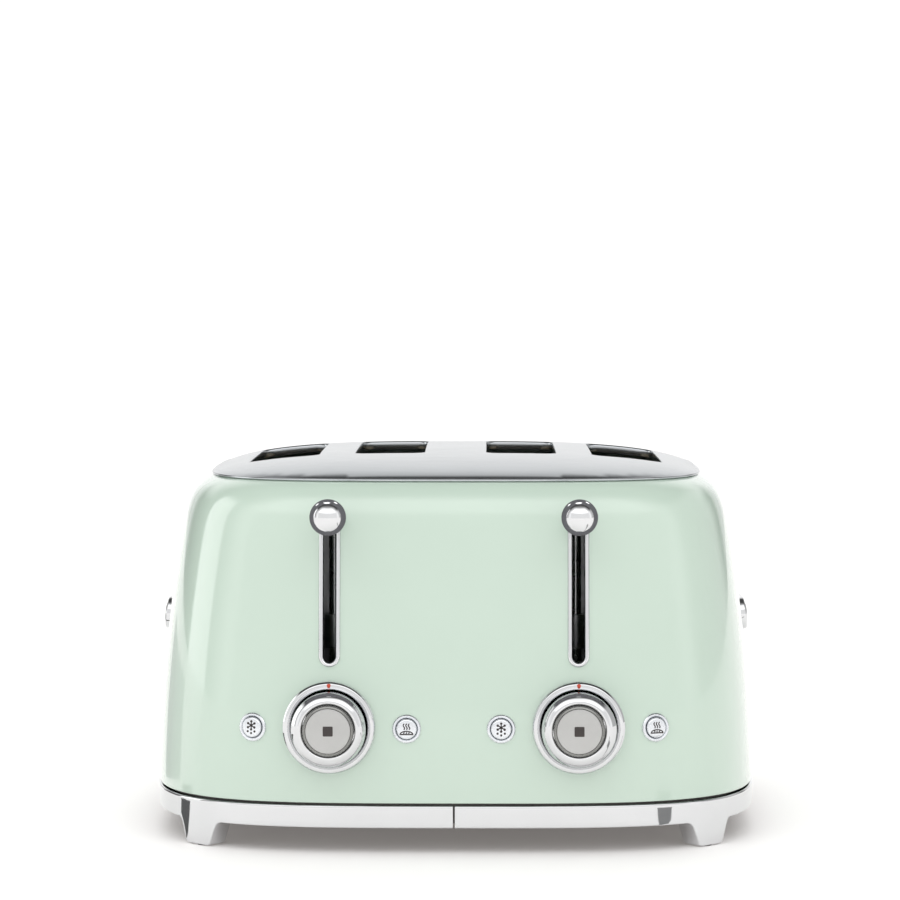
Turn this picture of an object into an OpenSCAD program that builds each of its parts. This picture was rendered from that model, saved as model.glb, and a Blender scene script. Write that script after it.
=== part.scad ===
// Four-slot pop-up toaster with self-centring bread guides and two independent lever units.
// Origin: on the floor under the middle of the whole object. +X right, +Y to the rear, +Z up.

/* [Body] */
// Width of the painted body at its lower edge
body_w = 328.4; // [300:1:360]
// Depth of the painted body at its lower edge
body_d = 324; // [300:1:360]
// Height of the lower edge of the body above the floor
body_z = 26.4; // [25:0.2:30]
// Height of the middle of the top plate above the floor
top_z = 206.6; // [190:0.5:215]
// How far each side wall leans in, from the lower edge to the top
side_lean = 20.6; // [10:0.2:26]
// How far the front and rear walls lean in, from the lower edge to the top
face_lean = 18; // [10:0.2:26]
// Squareness of the body's plan: 2 is an ellipse, and larger is squarer
plan_power = 3.7; // [3:0.02:5]
// Thickness of the painted sheet
sheet = 1.2; // [0.8:0.1:2]

/* [Top plate] */
// Where the top plate ends, as a share of the crown's own size
plate_edge = 0.935; // [0.9:0.002:0.96]
// Thickness of the top plate
plate_t = 1.2; // [0.8:0.1:1.6]
// Width of a bread slot
slot_w = 38.2; // [30:0.2:40]
// Length of a bread slot
slot_l = 132; // [120:1:140]
// Distance of an inner slot's middle from the centre plane
slot_inner_x = 36.1; // [34:0.1:38]
// Distance of an outer slot's middle from the centre plane
slot_outer_x = 94.3; // [92:0.1:96]
// Radius of a bread slot's corners
slot_r = 7; // [3:0.5:12]

/* [Base] */
// Width of the chrome base band
band_w = 329.8; // [310:1:365]
// Depth of the chrome base band
band_d = 326; // [310:1:365]
// Height of the band's upper edge
band_top = 25.2; // [22:0.2:27]
// Height of the band itself
band_h = 11.7; // [8:0.1:14]
// Wall thickness of the band
band_t = 1.8; // [1:0.1:3]
// Thickness of a foot, from the outside inward
foot_t = 10; // [6:0.5:14]
// Width of a foot where it meets the band
foot_top_w = 30; // [20:1:34]
// Width of a foot at its lower end
foot_end_w = 18; // [8:1:24]
// Thickness of the rubber pads under the feet
pad_t = 0.6; // [0.4:0.1:3]

/* [Controls] */
// Distance of each lever, dial and guide rod from the centre plane
unit_x = 65.2; // [60:0.1:70]
// Height of the dials' middle
dial_z = 66.2; // [60:0.2:72]
// Height of the push buttons' middle
button_z = 64.9; // [60:0.1:72]
// Distance of each push button from its dial
button_gap = 40.5; // [38:0.1:44]
// Outer diameter of a dial bezel
bezel_dia = 48.5; // [44:0.5:54]
// Diameter of the rotating knob
knob_dia = 39; // [34:0.5:41]
// Diameter of the stop button
stop_dia = 27.2; // [22:0.2:28]
// Travel of the stop button
stop_travel = 2; // [1:0.5:2]
// Outer diameter of a push button's bezel
button_bezel_dia = 15; // [12:0.5:18]
// Travel of a push button
button_travel = 1.5; // [0.5:0.5:2]
// Diameter of a lever's ball
ball_dia = 19; // [15:0.5:20]
// Height of a lever's ball at rest
ball_z = 177; // [172:0.5:180]
// Height of the upper end of the lever slot trims
trim_top_z = 184.2; // [182:0.2:190]
// Travel of a lever
lever_travel = 68; // [50:1:70]
// Outer width of a lever slot's trim
trim_w = 11.5; // [10:0.5:14]
// Open width of a lever slot
lever_gap = 6.4; // [5:0.2:8]
// Lower end of a lever slot's trim
trim_low_z = 97.4; // [92:0.2:100]

/* [Chamber] */
// Half the distance between the front and rear bulkheads
chamber_y = 78; // [76:0.5:80]
// Height of the bread guides' pivots
guide_pivot_z = 45; // [42:0.5:48]
// Height of the bread lifters' wires at rest
lifter_z = 111; // [108:0.5:114]
// How far a crumb tray can be drawn out
tray_travel = 180; // [100:5:200]

/* [Hidden] */
$fn = 48;
RING = 72;                       // points round the body's plan
crown_power = 27;                // how flat the crown is before it rolls over
lean_power = 1.81;               // how the walls' lean grows with height
fold_z = 28.5;                   // where the walls' lean starts
crown_h = top_z - fold_z;
shell_drop = 1.4;                // the painted crown lies this much under the top plate's face
ball_front = 172;                // ball centre, in front of the body's middle
knob_front = 175.5;
tray_grip = 8;                   // how far a tray's grip stands behind the band
ball_reach = ball_front + ball_dia / 2;
grip_x = 45;                     // inner end of a tray's grip
rear_reach = (band_d / 2 + tray_grip)
    * pow(1 - pow(grip_x / (band_w / 2 + tray_grip), plan_power), 1 / plan_power);
body_y = (ball_reach - rear_reach) / 2;  // puts the middle of the whole object at Y = 0
fit = 0.05;                      // radial clearance of a running fit
gap = 0.3;                       // clearance between bodies
seam = 0.1;                      // between the two halves of the shell
gland_z = 45;
bezel_front = 164.4;
bezel_back = 148;
board_y = 132;
rod_y = 92;
rod_dia = 6;
shaft_dia = 9;
stem_dia = 5;
shield_x = 121.5;
heater_x = [-117.4, -65.2, -12.6, 12.6, 65.2, 117.4];
slot_x = [-slot_outer_x, -slot_inner_x, slot_inner_x, slot_outer_x];
guide_off = 16.6;                // guide plane from its slot's middle
wire = 1.6;
pivot_dia = 2.4;
wall_z = 36;                     // lower edge of the bulkheads over the trays
floor_z = 17;                    // upper face of the bottom plate
tray_z = 27.4;                   // underside of a crumb tray
tray_y = -74;                    // inner end of a crumb tray
magnet_h = 16;                   // armature over the bottom plate, lever down

// ---------- plan and profile of the body ----------

function bent(v, p) = sign(v) * pow(abs(v), p);

// One superellipse, half sizes a and b, as a list of points
function oval(a, b, count = RING) = [for (i = [0:count - 1])
    let (t = 360 * i / count)
    [a * bent(cos(t), 2 / plan_power), b * bent(sin(t), 2 / plan_power)]];

// u runs up the wall, from 0 where the lean starts to 1 at the middle of the crown
function share(u) = sqrt(max(0, 1 - pow(u, crown_power)));
function half_w(u) = body_w / 2 - side_lean * pow(max(u, 0), lean_power);
function half_d(u) = body_d / 2 - face_lean * pow(max(u, 0), lean_power);
function height(r) = pow(1 - r * r, 1 / crown_power);

// Depth of the front wall's face at (x, z), in front of the body's middle
function face_at(x, z) = let (u = (z - fold_z) / (crown_h - shell_drop), s = share(u))
    half_d(u) * s * pow(1 - pow(abs(x) / (half_w(u) * s), plan_power), 1 / plan_power);

// Half width of the body's side at height z
function side_at(z) = let (u = (z - fold_z) / crown_h) half_w(u) * share(u);

// How far the front wall has turned away from straight ahead at x, in degrees
function face_turn(x, z) = atan((face_at(abs(x) - 1, z) - face_at(abs(x) + 1, z)) / 2);

// How far the front wall leans back at height z, in degrees
function face_tilt(x, z) = atan((face_at(x, z - 1) - face_at(x, z + 1)) / 2);

function ring_at(a, b, z) = [for (p = oval(a, b)) [p.x, p.y, z]];

// The two triangles of a four-sided patch
function pair(a, b, c, d) = [[a, c, b], [a, d, c]];

// A closed skin through a list of rings, from the first to the last and back to the first
module looped_skin(rings) {
    n = len(rings);
    points = [for (r = rings) each r];
    faces = [for (i = [0:n - 1], j = [0:RING - 1])
        let (k = (j + 1) % RING, m = (i + 1) % n)
        each pair(i * RING + j, i * RING + k, m * RING + k, m * RING + j)];
    polyhedron(points, faces, convexity = 8);
}

// A solid through a list of rings that starts and ends in one point
module capped_skin(first, rings, last) {
    n = len(rings);
    points = concat([first], [for (r = rings) each r], [last]);
    bottom = [for (j = [0:RING - 1]) [0, 1 + j, 1 + (j + 1) % RING]];
    sides = [for (i = [0:n - 2], j = [0:RING - 1])
        let (k = (j + 1) % RING, a = 1 + i * RING, b = 1 + (i + 1) * RING)
        each pair(a + j, a + k, b + k, b + j)];
    top = [for (j = [0:RING - 1])
        [1 + (n - 1) * RING + (j + 1) % RING, 1 + (n - 1) * RING + j, n * RING + 1]];
    polyhedron(points, concat(bottom, sides, top), convexity = 8);
}

// The crown between two depths under its face, out to the plate's edge and a little past it
module crown_sheet(upper, lower, past = 0) {
    rs = [for (s = [0.25, 0.5, 0.68, 0.8, 0.89, 0.95, 1]) s * plate_edge];
    function crown_ring(r, depth, more) = ring_at(half_w(height(r)) * r + more,
        half_d(height(r)) * r + more, fold_z + crown_h * height(r) - depth);
    edges = [crown_ring(plate_edge, lower, past), crown_ring(plate_edge, upper, past)];
    under = [for (r = rs) crown_ring(r, lower, 0)];
    over = [for (i = [len(rs) - 1:-1:0]) crown_ring(rs[i], upper, 0)];
    capped_skin([0, 0, top_z - lower], past > 0 ? concat(under, edges, over) : concat(under, over),
        [0, 0, top_z - upper]);
}

module placed() { translate([0, body_y, 0]) children(); }

// A rectangle w by l with its corners rounded to r, in a few straight steps each
module rounded_bar(w, l, r, steps = 5) {
    polygon([for (q = [0:3], i = [0:steps])
        let (t = 90 * q + 90 * i / steps, sx = q == 0 || q == 3 ? 1 : -1, sy = q < 2 ? 1 : -1)
        [sx * (w / 2 - r) + r * cos(t), sy * (l / 2 - r) + r * sin(t)]]);
}

// A round-ended bar standing upright in the XZ plane, pointing along Y
module upright_bar(w, low, high, y1, y2) {
    translate([0, y2, 0]) rotate([90, 0, 0]) linear_extrude(y2 - y1) {
        translate([-w / 2, low + w / 2]) square([w, high - low - w]);
        translate([0, low + w / 2]) circle(d = w);
        translate([0, high - w / 2]) circle(d = w);
    }
}

// A round bar along Y from y1 to y2
module along_y(d, y1, y2) { translate([0, y1, 0]) rotate([-90, 0, 0]) cylinder(h = y2 - y1, d = d); }

// Places its children on the front face at x and z, with +Y into the body along the face's normal
module on_face(x, z) {
    translate([x, -face_at(x, z), z]) rotate([0, 0, sign(x) * face_turn(x, z)])
        rotate([-face_tilt(x, z), 0, 0]) children();
}

// ---------- outer casing ----------

// One pressed half of the body, side -1 for the front and 1 for the rear
module shell_half(side) {
    us = [0, 0.2, 0.38, 0.54, 0.67, 0.77, 0.84, 0.89, 0.92];
    h = crown_h - shell_drop;
    outer = concat([ring_at(half_w(0), half_d(0), body_z)],
        [for (u = us) ring_at(half_w(u) * share(u), half_d(u) * share(u), fold_z + h * u)],
        [for (r = [0.955, 0.93]) ring_at(half_w(height(r)) * r, half_d(height(r)) * r,
            fold_z + h * height(r))]);
    inner = concat(
        [for (r = [0.92, 0.94]) ring_at(half_w(height(r)) * r, half_d(height(r)) * r,
            fold_z + h * height(r) - sheet)],
        [for (i = [len(us) - 1:-1:0]) let (u = us[i], s = share(u))
            ring_at(half_w(u) * s - sheet, half_d(u) * s - sheet, fold_z + h * u - u * sheet / 2)],
        [ring_at(half_w(0) - sheet, half_d(0) - sheet, body_z)]);
    color("#cfe3d5") placed() difference() {
        looped_skin(concat(outer, inner));
        for (s = [-1, 1]) {
            translate([s * unit_x, 0, 0])
                upright_bar(trim_w - 2.4, trim_low_z + 1.2, trim_top_z - 1.2, -165, -135);
            translate([s * unit_x, 0, dial_z]) along_y(bezel_dia + 0.4, -170, -140);
            for (t = [-1, 1]) {
                on_face(s * unit_x + t * button_gap, button_z) along_y(button_bezel_dia - 1, -6, 8);
            }
            translate([s * 65, 155, 30.2]) cube([100, 40, 12], center = true);
        }
        translate([0, 0, gland_z]) along_y(12.4, 150, 170);
        translate([-200, side > 0 ? seam / 2 - 200 : -seam / 2, 0]) cube([400, 200, 300]);
    }
}
module body_shell_front() { shell_half(-1); }
module body_shell_rear() { shell_half(1); }

// Upright columns through the bread slots, grown by grow on every side
module slot_columns(grow) {
    for (x = slot_x) {
        translate([x, 0, 150]) linear_extrude(80)
            rounded_bar(slot_w + 2 * grow, slot_l + 2 * grow, slot_r + grow);
    }
}

module top_plate() {
    color("#c9cccd") placed() difference() {
        crown_sheet(0, 3.4);
        difference() {
            crown_sheet(plate_t, 20, 3);
            slot_columns(1);
        }
        slot_columns(0);
    }
}

module band_wall(low, high, outer, inner) {
    translate([0, 0, low]) linear_extrude(high - low) difference() {
        polygon(oval(band_w / 2 - outer, band_d / 2 - outer, 96));
        polygon(oval(band_w / 2 - inner, band_d / 2 - inner, 96));
    }
}

// One half of the base band, side -1 for the left and 1 for the right, with its two feet
module band_half(side) {
    corner = pow(2, -1 / plan_power);
    color("#d8dadc") placed() intersection() {
        union() {
            band_wall(band_top - band_h, band_top, 0, band_t);
            band_wall(band_top - 1, band_top, 0, 4.4);
            intersection() {
                band_wall(pad_t, band_top - band_h + 1, 0, foot_t);
                for (sy = [-1, 1]) {
                    translate([side * corner * band_w / 2, sy * corner * band_d / 2, 0])
                        rotate([90, 0, side * sy * 45 + 90]) linear_extrude(60, center = true)
                        polygon([[-foot_end_w / 2, pad_t], [foot_end_w / 2, pad_t],
                            [foot_top_w / 2, band_top - band_h + 1],
                            [-foot_top_w / 2, band_top - band_h + 1]]);
                }
            }
        }
        translate([side > 0 ? gap / 2 : -200, -200, 0]) cube([200 - gap / 2, 400, 60]);
    }
}
module base_trim_left() { band_half(-1); }
module base_trim_right() { band_half(1); }

module foot_pads() {
    corner = pow(2, -1 / plan_power);
    color("#2b2b2b") placed() for (sx = [-1, 1], sy = [-1, 1]) {
        translate([sx * (corner * band_w / 2 - 3.6), sy * (corner * band_d / 2 - 3.6), 0])
            cylinder(h = pad_t - 0.02, d = 7);
    }
}

module bottom_plate() {
    color("#3a3c3e") placed() difference() {
        union() {
            translate([0, 0, floor_z - 1.5]) linear_extrude(1.5) polygon(oval(160.4, 158.6, 96));
            translate([0, 0, floor_z]) linear_extrude(body_z - floor_z - 0.2) difference() {
                polygon(oval(160.4, 158.6, 96));
                polygon(oval(158.6, 156.8, 96));
            }
            for (x = [-105, -30, 30, 105]) {
                translate([x - 1, tray_y, floor_z - 1]) cube([2, 200, tray_z - gap - floor_z + 1]);
            }
        }
        for (x = [-84:12:84], y = [-48, 0, 48]) {
            translate([x, y, floor_z - 3]) linear_extrude(5) rounded_bar(4, 34, 2);
        }
    }
}

module base_screws() {
    color("#8e9092") placed() for (sx = [-1, 1], y = [-110, 0, 110]) {
        translate([sx * 118, y, floor_z - 1.5 - 1.3]) difference() {
            cylinder(h = 1.28, d = 6);
            translate([0, 0, 0.15]) cube([4, 0.9, 0.9], center = true);
            translate([0, 0, 0.15]) cube([0.9, 4, 0.9], center = true);
        }
    }
}

// Chrome channel round a lever's slot: its lip lies on the front face and its neck reaches in
module lever_trim(side) {
    zs = [for (i = [0:14]) trim_low_z - 2 + i * (ball_z + 12 - trim_low_z) / 14];
    function slab(out, back) = concat([for (z = zs) [-face_at(unit_x, z) - out, z]],
        [for (i = [14:-1:0]) [-face_at(unit_x, zs[i]) + back, zs[i]]]);
    color("#d8dadc") placed() translate([side * unit_x, 0, 0]) difference() {
        union() {
            intersection() {
                upright_bar(trim_w, trim_low_z, trim_top_z, -170, -130);
                rotate([90, 0, 90]) linear_extrude(20, center = true) polygon(slab(2, -0.7));
            }
            intersection() {
                upright_bar(trim_w - 2.8, trim_low_z + 1.4, trim_top_z - 1.4, -170, -130);
                rotate([90, 0, 90]) linear_extrude(20, center = true) polygon(slab(1, 5));
            }
        }
        upright_bar(lever_gap, trim_low_z + (trim_w - lever_gap) / 2,
            trim_top_z - (trim_w - lever_gap) / 2, -180, -120);
    }
}
module lever_slot_trim_left() { lever_trim(-1); }
module lever_slot_trim_right() { lever_trim(1); }

module dial_bezel(side) {
    r = bezel_dia / 2;
    hole = knob_dia / 2 + gap;
    color("#d8dadc") placed() translate([side * unit_x, -bezel_front, dial_z])
        rotate([-90, 0, 0]) rotate_extrude() polygon([[hole, 2.6], [hole + 1.8, 0.5], [r - 2, 0],
            [r - 0.6, 0.8], [r, 2.4], [r, bezel_front - bezel_back], [hole + 1, bezel_front - bezel_back],
            [hole + 1, 6], [hole, 6]]);
}
module dial_bezel_left() { dial_bezel(-1); }
module dial_bezel_right() { dial_bezel(1); }

module button_bezels() {
    color("#c4c7ca") placed() for (s = [-1, 1], t = [-1, 1]) {
        on_face(s * unit_x + t * button_gap, button_z) difference() {
            union() {
                along_y(button_bezel_dia, -1.1, -0.25);
                along_y(button_bezel_dia - 1.4, -0.3, 5);
            }
            along_y(button_bezel_dia - 3.6, -4, 8);
        }
    }
}

// Plain oval badge, standing on the side wall
module side_badge(side) {
    z = 113;
    tilt = atan((side_at(z - 1) - side_at(z + 1)) / 2);
    color("#d8dadc") placed() translate([side * (side_at(z) + 0.5), 0, z])
        rotate([0, -side * tilt, 0]) rotate([90, 0, side * 90]) union() {
        linear_extrude(2.6) rounded_bar(66, 18, 8.9);
        translate([0, 0, 2.5]) linear_extrude(1.3) rounded_bar(62.4, 14.4, 7.1);
    }
}
module side_badge_left() { side_badge(-1); }
module side_badge_right() { side_badge(1); }

// ---------- chassis ----------

// Bulkhead across the chamber at y, with pivot holes for the guides
module bulkhead(y, front) {
    difference() {
        union() {
            translate([-shield_x - 2, y - 0.6, wall_z]) cube([2 * shield_x + 4, 1.2, 187 - wall_z]);
            translate([-7, y - 0.6, floor_z]) cube([14, 1.2, 30]);
            for (s = [-1, 1]) {
                translate([s * (shield_x - 2.5) - 4.5, y - 0.6, floor_z]) cube([9, 1.2, 30]);
            }
            if (front) {
                for (s = [-1, 1]) {
                    translate([s * unit_x - 12, y - 22, 185.8]) cube([36, 22, 1.2]);
                }
            }
        }
        for (x = slot_x, t = [-1, 1]) {
            translate([x + t * guide_off, 0, guide_pivot_z]) along_y(pivot_dia + 2 * fit, y - 3, y + 3);
        }
        if (front) {
            for (x = slot_x) {
                translate([x - 2.6, y - 3, wall_z - 2.5]) cube([5.2, 6, lifter_z + 8 - wall_z]);
            }
        }
    }
}
module front_bulkhead() { color("#a9acae") placed() bulkhead(-chamber_y, true); }
module rear_bulkhead() { color("#a9acae") placed() bulkhead(chamber_y, false); }

module heat_shield(side) {
    color("#b4b7b9") placed() union() {
        translate([side * shield_x - 0.5, -chamber_y + 0.8, wall_z]) cube([1, 2 * chamber_y - 1.6, 149]);
        for (z = [60, 110, 160]) {
            translate([side * shield_x, 0, z]) cube([2.2, 2 * chamber_y - 20, 4], center = true);
        }
    }
}
module heat_shield_left() { heat_shield(-1); }
module heat_shield_right() { heat_shield(1); }

// Mica card with a flat ribbon wound round it
module heater(i) {
    color("#d9c9a3") placed() translate([heater_x[i], 0, 0]) union() {
        translate([-0.5, -chamber_y + 0.9, 58]) cube([1, 2 * chamber_y - 1.8, 122]);
        for (k = [0:12]) {
            translate([0, 0, 66 + 8.6 * k]) cube([1.8, 132, 1.8], center = true);
        }
    }
}
module heater_1() { heater(0); }
module heater_2() { heater(1); }
module heater_3() { heater(2); }
module heater_4() { heater(3); }
module heater_5() { heater(4); }
module heater_6() { heater(5); }

module guide_rods() {
    color("#dfe1e2") placed() for (s = [-1, 1]) {
        translate([s * unit_x, -rod_y, floor_z]) cylinder(h = 185.7 - floor_z, d = rod_dia);
    }
}

module electromagnet(side) {
    color("#8a5a35") placed() translate([side * (unit_x - 22), -rod_y, floor_z]) union() {
        translate([-8, -6, 0]) cube([16, 12, 2]);
        cylinder(h = magnet_h - 2 * gap, d = 6);
        translate([0, 0, 3]) cylinder(h = 10, d = 13);
    }
}
module electromagnet_left() { electromagnet(-1); }
module electromagnet_right() { electromagnet(1); }

// Board behind the dial, with the dial's hollow-shaft control and the push buttons' switches
module circuit_board(side) {
    color("#2f6b45") placed() translate([side * unit_x, 0, 0]) difference() {
        union() {
            translate([-49, -board_y - 1.6, 38]) cube([98, 1.6, 54]);
            translate([0, 0, dial_z]) along_y(17, -board_y - 11, -board_y - 1.5);
            for (t = [-1, 1]) {
                translate([t * (button_gap - 2) - 4, -board_y - 5, button_z - 4]) cube([8, 3.5, 8]);
            }
            translate([14, -board_y - 13, 42]) cube([14, 11.5, 11]);
            translate([-24, 0, 46]) along_y(8, -board_y - 12, -board_y - 1.5);
        }
        translate([0, 0, dial_z]) along_y(shaft_dia + 2 * fit, -board_y - 12, -board_y - 3.6);
    }
}
module circuit_board_left() { circuit_board(-1); }
module circuit_board_right() { circuit_board(1); }

module cord_gland() {
    y = 162.2;
    color("#2b2b2b") placed() translate([0, 0, gland_z]) difference() {
        union() {
            along_y(16, y, y + 3);
            along_y(12.6, y + 2.9, y + 8);
            along_y(12, y - 12, y + 0.1);
            along_y(15, y - 4.6, y - 2.4);
        }
        along_y(7.2, y - 1, y + 9);
        along_y(8.8, y - 14, y);
    }
}

module terminal_block() {
    color("#e8e6df") placed() difference() {
        translate([-11, 112, floor_z]) cube([22, 14, 11]);
        for (x = [-7, 0, 7]) {
            translate([x, 119, floor_z + 6]) cylinder(h = 8, d = 4);
        }
    }
}

// ---------- lever units ----------

// Upright slide on the guide rod, its cross bar to the two lifters, and the arm to the ball
module carriage(side) {
    c = side * unit_x;
    low = floor_z + magnet_h + lever_travel;
    color("#9da0a3") placed() difference() {
        union() {
            for (z = [low, ball_z - 10]) {
                translate([c, -rod_y, z]) cylinder(h = 18, d = rod_dia + 5);
            }
            translate([c - 4, -rod_y + 4, low]) cube([8, 5.5, ball_z + 8 - low]);
            translate([c - 36, -rod_y + 8, low]) cube([72, 1.5, 16]);
            translate([c, -rod_y + 8, 130]) cube([22, 1.5, 12]);
            translate([c + 11, -rod_y - 4, 140]) cube([10, 13, 1.5]);
            translate([side * (unit_x - 22) - 7, -rod_y - 6, low]) cube([14, 15, 2]);
            translate([c - 2, -ball_front + 9, ball_z - 3.5]) cube([4, ball_front - rod_y - 11, 7]);
        }
        translate([c, -rod_y, low - 1]) cylinder(h = 100, d = rod_dia + 2 * fit);
    }
}
module carriage_left() { carriage(-1); }
module carriage_right() { carriage(1); }

// Polished ball with a short collar that grips the arm
module lever_ball(side) {
    color("#e2e4e6") placed() translate([side * unit_x, -ball_front, ball_z]) difference() {
        union() {
            sphere(d = ball_dia, $fn = 64);
            along_y(12, 4, 11.5);
        }
        translate([-2.03, 4.5, -3.53]) cube([4.06, 20, 7.06]);
    }
}
module lever_ball_left() { lever_ball(-1); }
module lever_ball_right() { lever_ball(1); }

// Rail through the front bulkhead, with the cross wires that the bread stands on
module bread_lifter(i) {
    color("#b9bcbf") placed() translate([slot_x[i], 0, 0]) union() {
        translate([-1.5, -rod_y + 9.6, lifter_z - 9]) cube([3, rod_y - 9.6 + 68, 8]);
        for (k = [0:8]) {
            translate([0, -60 + 15 * k, lifter_z - 2]) rotate([0, 90, 0])
                cylinder(h = 24, d = 2.4, center = true);
        }
    }
}
module bread_lifter_1() { bread_lifter(0); }
module bread_lifter_2() { bread_lifter(1); }
module bread_lifter_3() { bread_lifter(2); }
module bread_lifter_4() { bread_lifter(3); }

// Wire rack, pivoted along its lower edge. i counts the racks from the left
module bread_guide(i) {
    x = slot_x[floor(i / 2)] + (i % 2 == 0 ? -1 : 1) * guide_off;
    top = 182;
    color("#d2d4d6") placed() translate([x, 0, 0]) union() {
        translate([0, 0, guide_pivot_z]) along_y(pivot_dia, -chamber_y - 2.5, chamber_y + 2.5);
        for (z = [116, 150, top]) {
            translate([0, 0, z]) along_y(wire, -63, 63);
        }
        for (y = [-63:18:63]) {
            translate([0, y, guide_pivot_z]) cylinder(h = top - guide_pivot_z, d = wire);
        }
    }
}
module bread_guide_1() { bread_guide(0); }
module bread_guide_2() { bread_guide(1); }
module bread_guide_3() { bread_guide(2); }
module bread_guide_4() { bread_guide(3); }
module bread_guide_5() { bread_guide(4); }
module bread_guide_6() { bread_guide(5); }
module bread_guide_7() { bread_guide(6); }
module bread_guide_8() { bread_guide(7); }

// Tension spring between the bulkhead's upper bracket and the carriage
module lift_spring(side) {
    turns = 9;
    steps = 10;
    sides = 6;
    coil_r = 3.2;
    wire_r = 0.45;
    low = 141.9;
    high = 185.4;
    count = turns * steps;
    points = [for (i = [0:count], j = [0:sides - 1])
        let (t = 360 * i / steps, w = 360 * j / sides, r = coil_r + wire_r * cos(w))
        [r * cos(t), r * sin(t), low + wire_r + (high - low - 2 * wire_r) * i / count + wire_r * sin(w)]];
    faces = concat([[for (j = [sides - 1:-1:0]) j]],
        [for (i = [0:count - 1], j = [0:sides - 1]) let (k = (j + 1) % sides)
            each pair(i * sides + j, (i + 1) * sides + j, (i + 1) * sides + k, i * sides + k)],
        [[for (j = [0:sides - 1]) count * sides + j]]);
    color("#7d8083") placed() translate([side * unit_x + 16, -rod_y, 0]) polyhedron(points, faces);
}
module lift_spring_left() { lift_spring(-1); }
module lift_spring_right() { lift_spring(1); }

// ---------- controls ----------

module dial_knob(side) {
    r = knob_dia / 2;
    hole = stop_dia / 2 + 0.4;
    color("#d8dadc") placed() translate([side * unit_x, -knob_front, dial_z]) rotate([-90, 0, 0])
        difference() {
        union() {
            rotate_extrude() polygon([[0, 13], [0, 15.5], [r, 15.5], [r, 4], [r - 0.7, 1.7],
                [r - 2.2, 0.3], [r - 3.4, 0], [hole + 0.6, 1.2], [hole, 1.8], [hole, 13]]);
            cylinder(h = knob_front - board_y - 4.2, d = shaft_dia);
        }
        translate([0, 0, -1]) cylinder(h = 80, d = stem_dia + 1.2);
        translate([0, 0, -1]) cylinder(h = 14, r = hole);
    }
}
module dial_knob_left() { dial_knob(-1); }
module dial_knob_right() { dial_knob(1); }

module stop_button(side) {
    face = knob_front + 1.3;
    color("#c6c6c4") placed() translate([side * unit_x, -face, dial_z]) rotate([-90, 0, 0])
        rotate_extrude() polygon([[0, 0], [stop_dia / 2 - 2.2, 0], [stop_dia / 2 - 1.7, 0.6],
            [stop_dia / 2 - 0.3, 1.1], [stop_dia / 2, 1.6], [stop_dia / 2, 8], [stem_dia / 2, 8],
            [stem_dia / 2, face - board_y - 3.6 - stop_travel - gap],
            [0, face - board_y - 3.6 - stop_travel - gap]]);
}
module stop_button_left() { stop_button(-1); }
module stop_button_right() { stop_button(1); }

// Round push button on the front face, t = -1 left of its dial and 1 right of it
module push_button(side, t) {
    r = button_bezel_dia / 2 - 1.8 - gap;
    x = side * unit_x + t * button_gap;
    room = (face_at(x, button_z) - board_y - 5) / cos(face_turn(x, button_z));
    end = room + 2.1 - button_travel - 4 * gap;
    color("#d5d9dd") placed() on_face(x, button_z) rotate([-90, 0, 0]) translate([0, 0, -2.1])
        rotate_extrude() polygon([[0, 0], [r - 0.7, 0], [r, 0.6], [r, 6.5], [1.6, 6.5], [1.6, end],
            [0, end]]);
}
module defrost_button_left() { push_button(-1, -1); }
module defrost_button_right() { push_button(1, -1); }
module reheat_button_left() { push_button(-1, 1); }
module reheat_button_right() { push_button(1, 1); }

// Crumb tray with its front panel, which closes the opening in the rear wall
module crumb_tray(side) {
    low_x = side > 0 ? 18 : -112;
    pan = tray_travel + 38;
    color("#b9bcbf") placed() union() {
        intersection() {
            union() {
                translate([low_x, tray_y, tray_z]) cube([94, 250, 0.8]);
                for (x = [low_x, low_x + 93.2]) {
                    translate([x, tray_y, tray_z]) cube([0.8, pan, 6]);
                }
                for (y = [tray_y, tray_y + pan - 0.8]) {
                    translate([low_x, y, tray_z]) cube([94, 0.8, 6]);
                }
            }
            translate([0, 0, tray_z - 1]) linear_extrude(20)
                polygon(oval(band_w / 2 - 0.2, band_d / 2 - 0.2, 96));
        }
        intersection() {
            translate([low_x - 2.6, 100, 26.7]) cube([99.2, 80, 10.2]);
            band_wall(26, 38, -1.8, 0.3);
        }
        intersection() {
            translate([side > 0 ? grip_x : -grip_x - 40, 100, 28.5]) cube([40, 80, 6]);
            translate([0, 0, 28]) linear_extrude(8) difference() {
                polygon(oval(band_w / 2 + tray_grip, band_d / 2 + tray_grip, 96));
                polygon(oval(band_w / 2 + 1, band_d / 2 + 1, 96));
            }
        }
    }
}
module crumb_tray_left() { crumb_tray(-1); }
module crumb_tray_right() { crumb_tray(1); }

body_shell_front();
body_shell_rear();
top_plate();
base_trim_left();
base_trim_right();
bottom_plate();
foot_pads();
lever_slot_trim_left();
lever_slot_trim_right();
dial_bezel_left();
dial_bezel_right();
button_bezels();
side_badge_left();
side_badge_right();
front_bulkhead();
rear_bulkhead();
heat_shield_left();
heat_shield_right();
heater_1();
heater_2();
heater_3();
heater_4();
heater_5();
heater_6();
guide_rods();
electromagnet_left();
electromagnet_right();
circuit_board_left();
circuit_board_right();
cord_gland();
terminal_block();
base_screws();
carriage_left();
carriage_right();
lever_ball_left();
lever_ball_right();
bread_lifter_1();
bread_lifter_2();
bread_lifter_3();
bread_lifter_4();
bread_guide_1();
bread_guide_2();
bread_guide_3();
bread_guide_4();
bread_guide_5();
bread_guide_6();
bread_guide_7();
bread_guide_8();
lift_spring_left();
lift_spring_right();
dial_knob_left();
dial_knob_right();
stop_button_left();
stop_button_right();
defrost_button_left();
defrost_button_right();
reheat_button_left();
reheat_button_right();
crumb_tray_left();
crumb_tray_right();
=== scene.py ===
import math

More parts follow.
